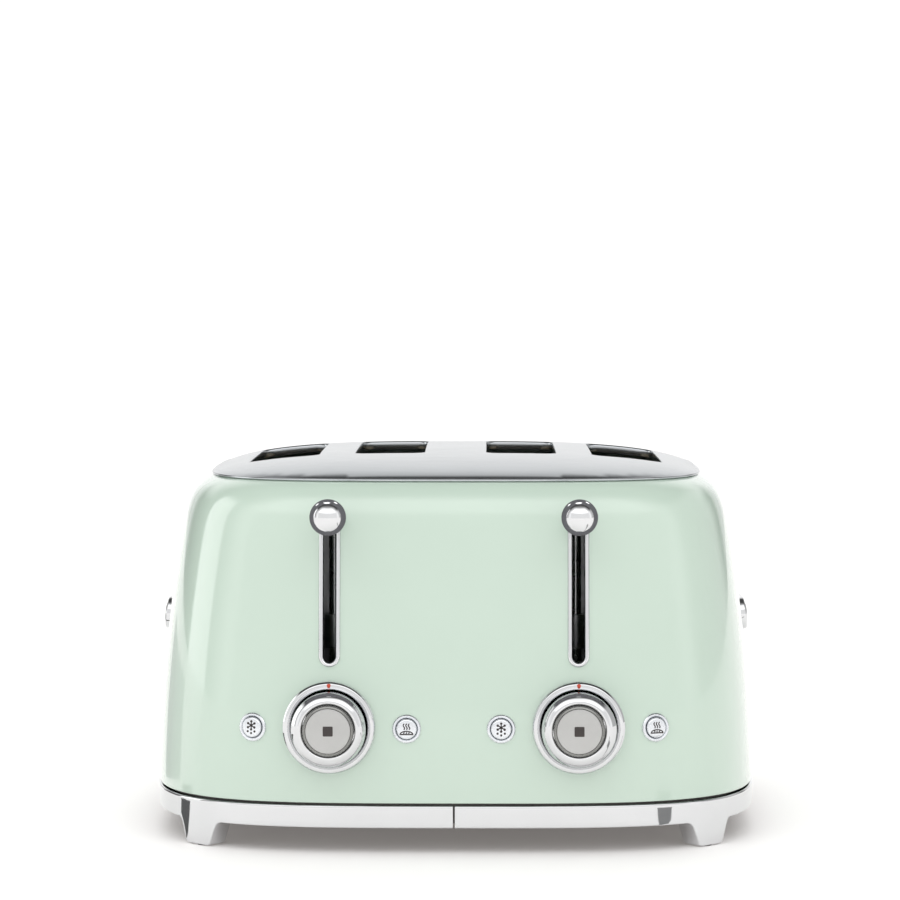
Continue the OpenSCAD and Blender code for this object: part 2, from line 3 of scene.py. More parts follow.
import bmesh
import bpy
import numpy as np
from mathutils import Matrix, Vector
from mathutils.geometry import delaunay_2d_cdt


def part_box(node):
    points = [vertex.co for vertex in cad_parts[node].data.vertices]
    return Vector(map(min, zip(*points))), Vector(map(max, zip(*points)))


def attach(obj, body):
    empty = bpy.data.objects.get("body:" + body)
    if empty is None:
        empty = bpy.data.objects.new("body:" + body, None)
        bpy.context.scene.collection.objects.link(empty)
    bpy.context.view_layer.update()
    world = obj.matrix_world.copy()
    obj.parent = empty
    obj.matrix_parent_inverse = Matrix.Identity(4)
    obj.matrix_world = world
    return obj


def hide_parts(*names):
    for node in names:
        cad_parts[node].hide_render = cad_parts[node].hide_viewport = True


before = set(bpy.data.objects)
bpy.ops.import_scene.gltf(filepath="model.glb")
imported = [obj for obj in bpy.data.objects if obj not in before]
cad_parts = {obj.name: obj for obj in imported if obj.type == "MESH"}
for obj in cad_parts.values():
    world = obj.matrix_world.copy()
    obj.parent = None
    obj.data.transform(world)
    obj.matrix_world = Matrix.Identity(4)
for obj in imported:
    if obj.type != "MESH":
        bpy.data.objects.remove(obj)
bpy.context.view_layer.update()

MM = 0.001
CASING = "toaster_body"
SIDES = {"left": -1, "right": 1}


# ---------- measures from the frame ----------


def box_mm(*nodes):
    """Lowest and highest corner of these CAD nodes together, in millimetres."""
    boxes = [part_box(n) for n in nodes]
    low = np.min([np.array(lo) for lo, hi in boxes], axis=0) / MM
    high = np.max([np.array(hi) for lo, hi in boxes], axis=0) / MM
    return low, high


shell_low, shell_high = box_mm("body_shell_front", "body_shell_rear")
plate_top = box_mm("top_plate")[1][2]
band_low, band_high = box_mm("base_trim_left", "base_trim_right")
MID_Y = (shell_low[1] + shell_high[1]) / 2


def body_box(*nodes):
    """As box_mm, but measured from the middle of the body."""
    low, high = box_mm(*nodes)
    return low - [0, MID_Y, 0], high - [0, MID_Y, 0]


# The walls lean in by SIDE_LEAN and FACE_LEAN. The powers shape the plan, the lean and the crown.
BODY_W, BODY_D = (shell_high - shell_low)[:2]
BAND_W, BAND_D = (band_high - band_low)[:2]
TOP_Z = plate_top
HEM_Z = shell_low[2]
FOLD_Z = HEM_Z + 2.1
SIDE_LEAN, FACE_LEAN = 20.6, 18.0
PLAN_POWER, LEAN_POWER, CROWN_POWER = 3.7, 1.81, 27
CROWN_H = TOP_Z - FOLD_Z
SHELL_DROP = 1.4
SHEET = 1.2
PLATE_T = 1.2
SLOT_W, SLOT_L, SLOT_R = 38.2, 132.0, 7.0
LIFTERS = [body_box(f"bread_lifter_{i}") for i in range(1, 5)]
SLOT_X = [(low[0] + high[0]) / 2 for low, high in LIFTERS]
KNOB_LOW, KNOB_HIGH = body_box("dial_knob_right")
UNIT_X = (KNOB_LOW[0] + KNOB_HIGH[0]) / 2


# ---------- form of the body ----------


def oval(a, b, t):
    """A superellipse with half sizes a and b, at the angles t."""
    c, s = np.cos(t), np.sin(t)
    power = 2 / PLAN_POWER
    return a * np.sign(c) * np.abs(c) ** power, b * np.sign(s) * np.abs(s) ** power


def level_ring(a, b, t, z):
    """Points of the oval with half sizes a and b, at the angles t and at height z."""
    return np.stack([*oval(a, b, t), np.full_like(t, z)], axis=1)


def oval_run(a, b, t):
    """Length along the oval from the first of the angles t to each of them."""
    return np.concatenate([[0], np.cumsum(np.hypot(*np.diff(oval(a, b, t))))])


def even_angles(a, b, count):
    """Angles that space count points evenly round the oval."""
    t = np.linspace(0, 2 * np.pi, 40001)
    run = oval_run(a, b, t)
    return np.interp(np.arange(count) * run[-1] / count, run, t)


def share(u):
    """Share of the leaning wall's half sizes that is left at height u of the crown, 1 being its top."""
    return np.sqrt(np.maximum(1 - np.maximum(u, 0) ** CROWN_POWER, 0))


def half_w(u):
    """Half width of the leaning wall at height u, before the crown closes."""
    return BODY_W / 2 - SIDE_LEAN * np.maximum(u, 0) ** LEAN_POWER


def half_d(u):
    return BODY_D / 2 - FACE_LEAN * np.maximum(u, 0) ** LEAN_POWER


def height(r):
    """Height u at which share(u) is r."""
    return (1 - r * r) ** (1 / CROWN_POWER)


def fullness(x, y, z):
    """1 on the outer face of the painted wall, less inside it."""
    u = (z - FOLD_Z) / (CROWN_H - SHELL_DROP)
    a, b = half_w(u) * share(u), half_d(u) * share(u)
    return (np.abs(x) / a) ** PLAN_POWER + (np.abs(y) / b) ** PLAN_POWER


def unit(rows):
    """Each row's vector at length 1."""
    return rows / np.linalg.norm(rows, axis=1, keepdims=True)


def wall_normals(points, step=0.02):
    """Outward unit normals of the painted wall."""
    x, y, z = points.T
    slopes = [
        fullness(x + step, y, z) - fullness(x - step, y, z),
        fullness(x, y + step, z) - fullness(x, y - step, z),
        fullness(x, y, z + step) - fullness(x, y, z - step),
    ]
    return unit(np.stack(slopes, axis=1))


def face_at(x, z):
    """How far the front wall stands in front of the body's middle at x and z."""
    u = (z - FOLD_Z) / (CROWN_H - SHELL_DROP)
    a, b = half_w(u) * share(u), half_d(u) * share(u)
    return b * (1 - (np.abs(x) / a) ** PLAN_POWER) ** (1 / PLAN_POWER)


def side_at(z):
    """Half width of the body at z."""
    u = (z - FOLD_Z) / CROWN_H
    return half_w(u) * share(u)


def crown_share(x, y):
    """Which ring of the crown a plan point lies on, from 0 in the middle to 1 at the rim."""
    low, high = np.zeros_like(x), np.full_like(x, 0.995)
    for _ in range(40):
        r = (low + high) / 2
        a, b = half_w(height(r)) * r, half_d(height(r)) * r
        outside = (np.abs(x) / a) ** PLAN_POWER + (np.abs(y) / b) ** PLAN_POWER > 1
        low, high = np.where(outside, r, low), np.where(outside, high, r)
    return (low + high) / 2


def crown_z(x, y):
    """Height of the top plate's upper face."""
    return FOLD_Z + CROWN_H * height(crown_share(x, y))


def crown_normals(x, y, step=0.2):
    """Upward unit normals of the top plate's upper face."""
    dx = (crown_z(x + step, y) - crown_z(x - step, y)) / (2 * step)
    dy = (crown_z(x, y + step) - crown_z(x, y - step)) / (2 * step)
    return unit(np.stack([-dx, -dy, np.ones_like(dx)], axis=1))


# ---------- mesh tools ----------


def grid_faces(rows, columns, around=True, back=False, start=0):
    """Four-sided faces between rows of points. around joins the columns' ends, back the rows' ends."""
    faces = []
    for i in range(rows if back else rows - 1):
        for j in range(columns if around else columns - 1):
            k, m = (j + 1) % columns, (i + 1) % rows
            faces.append((start + i * columns + j, start + i * columns + k,
                          start + m * columns + k, start + m * columns + j))
    return faces


def swept(sections):
    """Points and faces of a bar through closed sections with equally many points, with capped ends."""
    rows, width = len(sections), len(sections[0])
    caps = [tuple(range(width)), tuple(range((rows - 1) * width, rows * width))]
    return np.array(sections, float).reshape(-1, 3), grid_faces(rows, width) + caps


def rounded(corners, steps=4, closed=True):
    """An outline through (x, y, radius) corners, with an arc at each corner that has a radius."""
    out = []
    count = len(corners)
    for i, (x, y, radius) in enumerate(corners):
        p = np.array([x, y], float)
        if radius <= 0 or (not closed and i in (0, count - 1)):
            out.append((x, y))
            continue
        a = np.array(corners[i - 1][:2], float) - p
        b = np.array(corners[(i + 1) % count][:2], float) - p
        la, lb = np.linalg.norm(a), np.linalg.norm(b)
        a, b = a / la, b / lb
        half = math.acos(float(np.clip(a @ b, -1, 1))) / 2
        if half > math.radians(88):
            out.append((x, y))
            continue
        cut = min(radius / math.tan(half), 0.49 * la, 0.49 * lb)
        middle = p + (a + b) / np.linalg.norm(a + b) * cut / math.cos(half)
        start, end = p + a * cut - middle, p + b * cut - middle
        first = math.atan2(start[1], start[0])
        sweep = (math.atan2(end[1], end[0]) - first + math.pi) % (2 * math.pi) - math.pi
        arm = np.linalg.norm(start)
        for k in range(steps + 1):
            t = first + sweep * k / steps
            out.append((middle[0] + arm * math.cos(t), middle[1] + arm * math.sin(t)))
    return out


def lathe(profile, count=128, closed=False):
    """Points and faces of a (radius, depth) profile turned round the Y axis, with depth along +Y."""
    t = np.arange(count) * 2 * np.pi / count
    points, rows = [], []
    for radius, depth in profile:
        if radius < 1e-6:
            rows.append([len(points)] * count)
            points.append((0, depth, 0))
        else:
            rows.append(list(range(len(points), len(points) + count)))
            points += [(radius * math.cos(a), depth, radius * math.sin(a)) for a in t]
    faces = []
    for i in range(len(rows) if closed else len(rows) - 1):
        one, two = rows[i], rows[(i + 1) % len(rows)]
        for j in range(count):
            k = (j + 1) % count
            face = tuple(dict.fromkeys((one[j], one[k], two[k], two[j])))
            if len(face) > 2:
                faces.append(face)
    return np.array(points, float), faces


def joined(*parts):
    """Several (points, faces) as one."""
    points, faces, start = [], [], 0
    for p, f in parts:
        points.append(np.asarray(p, float))
        faces += [tuple(v + start for v in face) for face in f]
        start += len(p)
    return np.concatenate(points), faces


def placed(name, data):
    """A new object in the scene."""
    item = bpy.data.objects.new(name, data)
    bpy.context.scene.collection.objects.link(item)
    return item


def make(name, shape, body, finish, stands_for=(), sharp=40, origin=(0, 0, 0)):
    """A piece that rides on body. Its points are measured from origin, and origin from the body's middle."""
    points, faces = shape
    mesh = bpy.data.meshes.new(name)
    mesh.from_pydata((np.asarray(points, float) * MM).tolist(), [], faces)
    work = bmesh.new()
    work.from_mesh(mesh)
    bmesh.ops.recalc_face_normals(work, faces=work.faces)
    work.to_mesh(mesh)
    work.free()
    mesh.shade_smooth()
    mesh.set_sharp_from_angle(angle=math.radians(sharp))
    mesh.materials.append(finish)
    piece = placed(name, mesh)
    piece.location = (Vector(origin) + Vector((0, MID_Y, 0))) * MM
    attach(piece, body)
    if stands_for:
        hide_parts(*stands_for)
    return piece


def face_turn(x, z):
    """Angle by which the front wall turns away to the side at x and z."""
    return math.atan((face_at(abs(x) - 1, z) - face_at(abs(x) + 1, z)) / 2)


def on_face(shape, x, z):
    """A shape moved on to the front wall at x and z, with its +Y along the wall's inward normal."""
    points, faces = shape
    turn = face_turn(x, z) * math.copysign(1, x)
    tilt = math.atan((face_at(x, z - 1) - face_at(x, z + 1)) / 2)
    place = Matrix.Rotation(turn, 3, "Z") @ Matrix.Rotation(-tilt, 3, "X")
    return points @ np.array(place).T + [x, -face_at(x, z), z], faces


# ---------- materials ----------


def new_material(name, metallic, roughness, colour):
    """A material with its node tree and its main shader."""
    material = bpy.data.materials.new(name)
    material.use_nodes = True
    tree = material.node_tree
    shader = tree.nodes["Principled BSDF"]
    shader.inputs["Metallic"].default_value = metallic
    shader.inputs["Roughness"].default_value = roughness
    shader.inputs["Base Color"].default_value = (*colour, 1)
    return material, tree, shader


def noise(tree, scale, stretch=(1, 1, 1), detail=3):
    """A noise over the object's own coordinates, in cells per metre."""
    place = tree.nodes.new("ShaderNodeTexCoord")
    mapping = tree.nodes.new("ShaderNodeMapping")
    mapping.inputs["Scale"].default_value = stretch
    texture = tree.nodes.new("ShaderNodeTexNoise")
    texture.inputs["Scale"].default_value = scale
    texture.inputs["Detail"].default_value = detail
    tree.links.new(place.outputs["Object"], mapping.inputs["Vector"])
    tree.links.new(mapping.outputs["Vector"], texture.inputs["Vector"])
    return texture.outputs["Fac"]


def ranged(tree, value, out_low, out_high, low=0.3, high=0.7, kind="LINEAR"):
    """value from low to high spread over out_low to out_high."""
    spread = tree.nodes.new("ShaderNodeMapRange")
    spread.interpolation_type = kind
    ends = {"From Min": low, "From Max": high, "To Min": out_low, "To Max": out_high}
    for key, number in ends.items():
        spread.inputs[key].default_value = number
    tree.links.new(value, spread.inputs["Value"])
    return spread.outputs["Result"]


def blended(tree, value, one, two):
    """Colour from one to two as value goes from 0.3 to 0.7."""
    ramp = tree.nodes.new("ShaderNodeValToRGB")
    for element, place, colour in zip(ramp.color_ramp.elements, (0.3, 0.7), (one, two)):
        element.position = place
        element.color = (*colour, 1)
    tree.links.new(value, ramp.inputs["Fac"])
    return ramp.outputs["Color"]


def bumped(tree, shader, value, depth_mm, strength=1.0):
    bump = tree.nodes.new("ShaderNodeBump")
    bump.inputs["Strength"].default_value = strength
    bump.inputs["Distance"].default_value = depth_mm * MM
    tree.links.new(value, bump.inputs["Height"])
    tree.links.new(bump.outputs["Normal"], shader.inputs["Normal"])


def surface(name, one, two, metallic, rough, grain, stretch=(1, 1, 1), bump=0.0, patches=25):
    """A finish whose colour drifts in patches, and whose roughness and bump follow a finer grain."""
    material, tree, shader = new_material(name, metallic, rough[0], one)
    patch = noise(tree, patches)
    tree.links.new(blended(tree, patch, one, two), shader.inputs["Base Color"])
    fine = noise(tree, grain, stretch, detail=4)
    tree.links.new(ranged(tree, fine, *rough), shader.inputs["Roughness"])
    if bump:
        bumped(tree, shader, fine, bump)
    return material, tree, shader


def enamel():
    """Glossy baked enamel with a trace of orange peel."""
    material, _, shader = surface("mint_enamel", (0.508, 0.622, 0.532), (0.520, 0.634, 0.544), 0,
                                  (0.16, 0.22), 420, bump=0.004, patches=14)
    shader.inputs["Coat Weight"].default_value = 1.0
    shader.inputs["Coat Roughness"].default_value = 0.02
    shader.inputs["Coat IOR"].default_value = 1.55
    return material


def chrome():
    return surface("chrome_polish", (0.685, 0.69, 0.70), (0.71, 0.715, 0.725), 1, (0.03, 0.07), 260,
                   bump=0.0006)[0]


def steel():
    """Finely brushed steel, with its grain along X."""
    return surface("satin_steel", (0.47, 0.49, 0.505), (0.50, 0.52, 0.535), 1, (0.15, 0.23), 40,
                   stretch=(1, 40, 40), bump=0.0008)[0]


def turned(name, one, two, rough):
    """Satin metal with the fine rings of a lathe round the piece's own middle."""
    material, tree, shader = surface(name, one, two, 1, rough, 900, patches=60)
    place = tree.nodes.new("ShaderNodeTexCoord")
    rings = tree.nodes.new("ShaderNodeTexWave")
    rings.wave_type = "RINGS"
    rings.rings_direction = "Y"
    rings.inputs["Scale"].default_value = 1400
    rings.inputs["Distortion"].default_value = 0.6
    tree.links.new(place.outputs["Object"], rings.inputs["Vector"])
    bumped(tree, shader, rings.outputs["Fac"], 0.0012)
    return material


def plain_metal(name, one, two, rough=(0.3, 0.48)):
    return surface(name, one, two, 1, rough, 300, bump=0.003, patches=60)[0]


def moulded(name, one, two, rough=(0.4, 0.55), bump=0.01):
    return surface(name, one, two, 0, rough, 900, bump=bump, patches=50)[0]


def mica():
    """Mica board with its silvery flakes."""
    return surface("mica_board", (0.52, 0.42, 0.27), (0.66, 0.56, 0.38), 0, (0.35, 0.6), 500, bump=0.02,
                   patches=320)[0]


ENAMEL = enamel()
CHROME = chrome()
BALL = surface("ball_polish", (0.70, 0.705, 0.715), (0.74, 0.745, 0.755), 1, (0.09, 0.13), 260)[0]
STEEL = steel()
SATIN = turned("satin_face", (0.495, 0.495, 0.485), (0.53, 0.53, 0.52), (0.34, 0.44))
CAP = turned("silver_cap", (0.76, 0.78, 0.81), (0.80, 0.82, 0.85), (0.22, 0.3))
# The stop button's bevel gets a dark grey base colour: a painted reflection of the dark that its sloping
# edge and gap mirror.
DARK_REFLECTION_BEVEL = turned("bevel_painted_dark", (0.23, 0.23, 0.22), (0.28, 0.28, 0.27), (0.2, 0.3))
ZINC = plain_metal("zinc_sheet", (0.50, 0.51, 0.52), (0.60, 0.61, 0.62))
WIRE = plain_metal("bright_wire", (0.66, 0.67, 0.68), (0.74, 0.75, 0.76), (0.16, 0.3))
BLACKED = moulded("black_sheet", (0.115, 0.106, 0.098), (0.145, 0.134, 0.124))
RUBBER = moulded("black_rubber", (0.018, 0.018, 0.018), (0.03, 0.03, 0.03), (0.65, 0.8), 0.03)
PLASTIC = moulded("black_plastic", (0.02, 0.02, 0.02), (0.03, 0.03, 0.03))
CERAMIC = moulded("white_block", (0.75, 0.74, 0.70), (0.8, 0.79, 0.76))
LAMINATE = moulded("board_laminate", (0.03, 0.12, 0.05), (0.05, 0.17, 0.08))
WINDING = plain_metal("copper_winding", (0.50, 0.20, 0.09), (0.62, 0.28, 0.13))
MICA = mica()
INK = moulded("dark_print", (0.030, 0.024, 0.022), (0.040, 0.032, 0.030), (0.4, 0.5), 0.002)
MARK = moulded("orange_mark", (0.50, 0.050, 0.020), (0.56, 0.065, 0.028), (0.25, 0.35), 0.002)


def dress_cad():
    """Finishes for the CAD nodes that show as they are."""
    finishes = {
        ZINC: ["front_bulkhead", "rear_bulkhead", "heat_shield_left", "heat_shield_right", "base_screws",
               "carriage_left", "carriage_right", *(f"bread_lifter_{i}" for i in range(1, 5))],
        WIRE: ["guide_rods", "lift_spring_left", "lift_spring_right",
               *(f"bread_guide_{i}" for i in range(1, 9))],
        MICA: [f"heater_{i}" for i in range(1, 7)],
        LAMINATE: ["circuit_board_left", "circuit_board_right"],
        WINDING: ["electromagnet_left", "electromagnet_right"],
        CERAMIC: ["terminal_block"],
        RUBBER: ["foot_pads"],
        BLACKED: ["bottom_plate"],
        PLASTIC: ["cord_gland"],
    }
    for finish, nodes in finishes.items():
        for node in nodes:
            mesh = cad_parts[node].data
            mesh.materials.clear()
            mesh.materials.append(finish)


# ---------- painted shell ----------


def stadium(width, low, high, steps=12):
    """An upright round-ended outline, as (x, z) points."""
    r = width / 2
    return [(r * math.cos(t), end + r * math.sin(t))
            for first, end in ((0, high - r), (math.pi, low + r))
            for t in np.linspace(first, first + math.pi, steps)]


def prism(outline, front, back):
    """A solid along Y from front to back, with an (x, z) outline."""
    n = len(outline)
    points = [(x, y, z) for y in (front, back) for x, z in outline]
    faces = grid_faces(2, n) + [tuple(range(n))[::-1], tuple(range(n, 2 * n))]
    return np.array(points, float), faces


def round_outline(radius, steps=64):
    """A circle round the origin, as (x, z) points."""
    t = np.arange(steps) * 2 * np.pi / steps
    return [(radius * math.cos(a), radius * math.sin(a)) for a in t]


LEVER_SLOT_W = 8.6
CUT_FRONT = (-175, -130)
CUT_REAR = (130, 175)
TRAY_X, TRAY_HOLE_W, TRAY_HOLE_TOP, TRAY_HOLE_R = 65, 100, 36.2, 3
BUTTON_HOLE_R = 6.7
GLAND_Z, GLAND_R = 45, 6.0
BUTTON_GAP = 40.5
BUTTON_X = {f"{kind}_button_{name}": side * UNIT_X + way * BUTTON_GAP
            for name, side in SIDES.items() for kind, way in (("defrost", -1), ("reheat", 1))}


def shell_openings():
    """Solids that cut the lever slots, the controls' holes, the tray openings and the gland's hole."""
    trim_low, trim_high = body_box("lever_slot_trim_right")
    bezel_low, bezel_high = body_box("dial_bezel_right")
    dial_z = (bezel_low[2] + bezel_high[2]) / 2
    half = TRAY_HOLE_W / 2
    lever_slot = prism(stadium(LEVER_SLOT_W, trim_low[2] + 1.4, trim_high[2] - 1.4), *CUT_FRONT)
    dial_hole = prism(round_outline(bezel_high[0] - UNIT_X - 0.6), *CUT_FRONT)
    tray_hole = prism(rounded([(-half, HEM_Z - 4, 0), (half, HEM_Z - 4, 0),
                               (half, TRAY_HOLE_TOP, TRAY_HOLE_R), (-half, TRAY_HOLE_TOP, TRAY_HOLE_R)]),
                      *CUT_REAR)
    parts = []
    for side in SIDES.values():
        for (points, faces), x, z in ((lever_slot, UNIT_X, 0), (dial_hole, UNIT_X, dial_z),
                                      (tray_hole, TRAY_X, 0)):
            parts.append((points + [side * x, 0, z], faces))
    for node in ("defrost_button", "reheat_button"):
        for name in SIDES:
            hole = prism(round_outline(BUTTON_HOLE_R, 32), -6, 8)
            parts.append(on_face(hole, *button_place(f"{node}_{name}")))
    points, faces = prism(round_outline(GLAND_R, 32), 150, 175)
    parts.append((points + [0, 0, GLAND_Z], faces))
    return joined(*parts)


def button_place(node):
    """(x, z) of a push button's middle on the front wall."""
    low, high = body_box(node)
    return BUTTON_X[node], (low[2] + high[2]) / 2 + 0.06 * (high[1] - low[1]) / 2


def shell():
    """The pressed shell, from its hem up the leaning wall and over on to the crown, with its openings."""
    t = even_angles(BODY_W / 2, BODY_D / 2, 288)
    us = np.concatenate([np.linspace(0, 0.86, 30), height(np.linspace(share(0.86), 0.911, 18))[1:]])
    outer = [(0.5, HEM_Z), (0.15, HEM_Z + 0.15), (0, HEM_Z + 0.5)]
    rows = [level_ring(BODY_W / 2 - o, BODY_D / 2 - o, t, z) for o, z in outer]
    drop = CROWN_H - SHELL_DROP
    for u in us:
        rows.append(level_ring(half_w(u) * share(u), half_d(u) * share(u), t, FOLD_Z + drop * u))
    for u in us[::-2]:
        a, b = half_w(u) * share(u) - SHEET * (1 - u / 2), half_d(u) * share(u) - SHEET * (1 - u / 2)
        rows.append(level_ring(a, b, t, FOLD_Z + drop * u - SHEET * u))
    rows.append(level_ring(BODY_W / 2 - SHEET, BODY_D / 2 - SHEET, t, HEM_Z))
    skin = np.concatenate(rows), grid_faces(len(rows), len(t), back=True)
    piece = make("painted_shell", skin, CASING, ENAMEL,
                 ["body_shell_front", "body_shell_rear"], sharp=30)
    cut_openings(piece)
    smooth_wall(piece.data)


def cut_openings(piece):
    """Takes the openings out of the shell's mesh."""
    cutter = make("cutter", shell_openings(), CASING, ENAMEL)
    cut = piece.modifiers.new("openings", "BOOLEAN")
    cut.object = cutter
    cut.operation = "DIFFERENCE"
    cut.solver = "EXACT"
    bpy.context.view_layer.update()
    graph = bpy.context.evaluated_depsgraph_get()
    done = bpy.data.meshes.new_from_object(piece.evaluated_get(graph))
    piece.modifiers.clear()
    piece.data = done
    bpy.data.objects.remove(cutter)


def read(items, key, width=1, kind=float):
    """One attribute of all of a mesh's items, as rows when each has more than one number."""
    values = np.zeros(len(items) * width, kind)
    items.foreach_get(key, values)
    return values.reshape(-1, width) if width > 1 else values


def smooth_wall(mesh):
    """Exact normals on the wall's two faces, so that cuts leave no trace in its gloss."""
    totals = read(mesh.polygons, "loop_total", kind=int)
    vertex = read(mesh.loops, "vertex_index", kind=int)
    exact = wall_normals(read(mesh.vertices, "co", 3) / MM)[vertex]
    level = read(mesh.polygons, "normal", 3)[np.repeat(np.arange(len(totals)), totals)]
    along = np.sum(exact * level, axis=1)
    chosen = np.where((along > 0.9)[:, None], exact, np.where((along < -0.9)[:, None], -exact, level))
    mesh.normals_split_custom_set(chosen.tolist())


# ---------- top plate ----------

PLATE_EDGE = 0.917
LIP = 1.6
PITCH = 5.0
# A slot's lip under its bend as (offset, depth) points, and the rim's bead as (outward, upward) points.
LIP_SECTION = [(0, 4.3), (0.12, 4.6), (0.5, 4.75), (0.88, 4.6), (1.0, 4.3), (1.0, 2.4), (1.25, 1.6)]
BEAD_SECTION = [(0.25, -0.08), (0.5, 0.02), (0.8, 0.22), (1.15, 0.36), (1.5, 0.34), (1.82, 0.16),
                (2.0, -0.14), (2.0, -0.5), (1.8, -0.85), (1.4, -1.05), (0.8, -1.15)]


def slot_outline(offset, count=9):
    """A bread slot's outline grown by offset, round its own middle, with points along its sides."""
    w, l, r = SLOT_W / 2 + offset, SLOT_L / 2 + offset, SLOT_R + offset
    points = []
    for q in range(4):
        sx, sy = (1, -1, -1, 1)[q], (1, 1, -1, -1)[q]
        for t in np.linspace(q * math.pi / 2, (q + 1) * math.pi / 2, count):
            points.append((sx * (w - r) + r * math.cos(t), sy * (l - r) + r * math.sin(t)))
        x, y = points[-1]
        if q % 2:
            end = sy * (r - l)
            points += [(x, y + (end - y) * k) for k in np.linspace(0, 1, 22)[1:-1]]
        else:
            points += [(sx * (w - r) * (1 - 2 * k), sy * l) for k in np.linspace(0, 1, 6)[1:-1]]
    return np.array(points)


def in_slot(x, y, grow):
    """True inside a slot's outline grown by grow."""
    inside = np.zeros(np.shape(x), bool)
    for middle in SLOT_X:
        r = SLOT_R + grow
        dx = np.maximum(np.abs(x - middle) - (SLOT_W / 2 + grow - r), 0)
        dy = np.maximum(np.abs(y) - (SLOT_L / 2 + grow - r), 0)
        inside |= np.hypot(dx, dy) < r
    return inside


def plate_plan(loops):
    """Plan points and triangles inside the first loop and outside the others, and each loop's points."""
    axis = np.arange(-150, 151, PITCH)
    gx, gy = np.meshgrid(axis, axis)
    gx = gx + (np.arange(len(axis)) % 2)[:, None] * PITCH / 2
    gx, gy = gx.ravel(), gy.ravel()
    keep = (crown_share(gx, gy) < PLATE_EDGE - 0.015) & ~in_slot(gx, gy, LIP + 1.6)
    inner = np.stack([gx[keep], gy[keep]], axis=1)
    starts = np.cumsum([0] + [len(loop) for loop in loops]).tolist()
    lines = [(start + i, start + (i + 1) % len(loop))
             for start, loop in zip(starts, loops) for i in range(len(loop))]
    flat = [Vector(p) for p in np.concatenate([*loops, inner]).tolist()]
    found, _, faces, origins, _, _ = delaunay_2d_cdt(flat, lines, [], 0, 1e-6)
    plan = np.array([tuple(p) for p in found])
    faces = np.array(list(faces))
    x, y = plan[faces].mean(axis=1).T
    faces = faces[(crown_share(x, y) < PLATE_EDGE) & ~in_slot(x, y, LIP - 0.02)]
    place = {o: i for i, group in enumerate(origins) for o in group}
    rings = [[place[start + i] for i in range(len(loop))] for start, loop in zip(starts, loops)]
    return plan, faces, rings


def lip_rows(x):
    """Rings of the lip that rolls down into the bread slot at x."""
    bend = [(LIP * (1 - math.sin(a)), LIP * (1 - math.cos(a)))
            for a in np.radians([15, 30, 45, 60, 75, 90])]
    rows = []
    for offset, depth in bend + LIP_SECTION:
        ring = slot_outline(offset) + [x, 0]
        rows.append(np.column_stack([ring, crown_z(*ring.T) - depth]))
    return rows


def bead_rows(edge):
    """Rings of the bead round the plate's rim."""
    normal = crown_normals(*edge.T)
    out = unit(normal * [1, 1, 0])
    along = unit(out - normal * np.sum(out * normal, axis=1, keepdims=True))
    base = np.column_stack([edge, crown_z(*edge.T)])
    return [base + along * a + normal * b for a, b in BEAD_SECTION]


def top_plate():
    """The crowned plate: its face, the rolled lips of the four slots, and the bead round its rim."""
    t = even_angles(BODY_W / 2, BODY_D / 2, 288)
    u = height(PLATE_EDGE)
    edge = np.stack(oval(half_w(u) * PLATE_EDGE, half_d(u) * PLATE_EDGE, t), axis=1)
    plan, triangles, (rim, *slots) = plate_plan([edge] + [slot_outline(LIP) + [x, 0] for x in SLOT_X])
    z = crown_z(*plan.T)
    points = [np.column_stack([plan, z]), np.column_stack([plan, z - PLATE_T])]
    count = len(plan)
    faces = triangles.tolist() + (triangles[:, ::-1] + count).tolist()
    total = 2 * count
    for ring, rows in [*zip(slots, map(lip_rows, SLOT_X)), (rim, bead_rows(edge))]:
        n = len(ring)
        ids = [ring, *(range(total + i * n, total + (i + 1) * n) for i in range(len(rows))),
               [v + count for v in ring]]
        for one, two in zip(ids, ids[1:]):
            faces += [(one[j], one[(j + 1) % n], two[(j + 1) % n], two[j]) for j in range(n)]
        points += rows
        total += len(rows) * n
    return make("slotted_top", (np.concatenate(points), faces), CASING, STEEL,
                ["top_plate"], sharp=50)


# ---------- base ----------

BAND_LOW = band_high[2] - 11.7
FOOT_LOW = band_low[2]
BAND_T = 1.8
FOOT_T = 10.0
HALF_SEAM = 0.15


def foot_profile():
    """Lower edge of the band near a foot, as (distance from the foot's middle, height) points."""
    corners = [(0, FOOT_LOW, 0), (8.9, FOOT_LOW, 2.6), (14.3, BAND_LOW, 4.6), (24, BAND_LOW, 0)]
    return rounded(corners, steps=8, closed=False)


def band_stops(length, feet):
    """Places along half the band, from 0 to length, that have a section, with its lower edge's height."""
    profile = foot_profile()
    stops = {}
    for foot in feet:
        for (d0, z0), (d1, z1) in zip([profile[0], *profile], profile):
            pieces = max(1, int((d1 - d0) / 2.5))
            for k in range(1, pieces + 1):
                d, z = d0 + (d1 - d0) * k / pieces, z0 + (z1 - z0) * k / pieces
                stops[round(foot - d, 4)] = z
                stops[round(foot + d, 4)] = z
    for s in np.arange(HALF_SEAM, length, 5.0):
        if all(abs(s - foot) > 25 for foot in feet):
            stops[round(float(s), 4)] = BAND_LOW
    stops[round(length - HALF_SEAM, 4)] = BAND_LOW
    return sorted(stops.items())


def band_section(low, deep):
    """(inset, height) points of the band's section, deep thick where a foot is, and low at its foot."""
    top = band_high[2]
    rise = top - 1.1 - low - 0.9
    return [(4.4, top - 1.0), (4.4, top), (1.15, top), (0.7, top - 0.06), (0.32, top - 0.28),
            (0.12, top - 0.65), (0.08, top - 1.1),
            *((0.08 * k, low + 0.9 + rise * k) for k in (0.8, 0.6, 0.4, 0.2, 0.0)),
            (0.05, low + 0.5), (0.25, low + 0.2), (0.6, low), (deep - 0.5, low), (deep, low + 0.5),
            (deep, max(low + 0.6, BAND_LOW + 0.5)), (BAND_T, max(low + 0.7, BAND_LOW + 0.6)),
            (BAND_T, top - 1.0)]


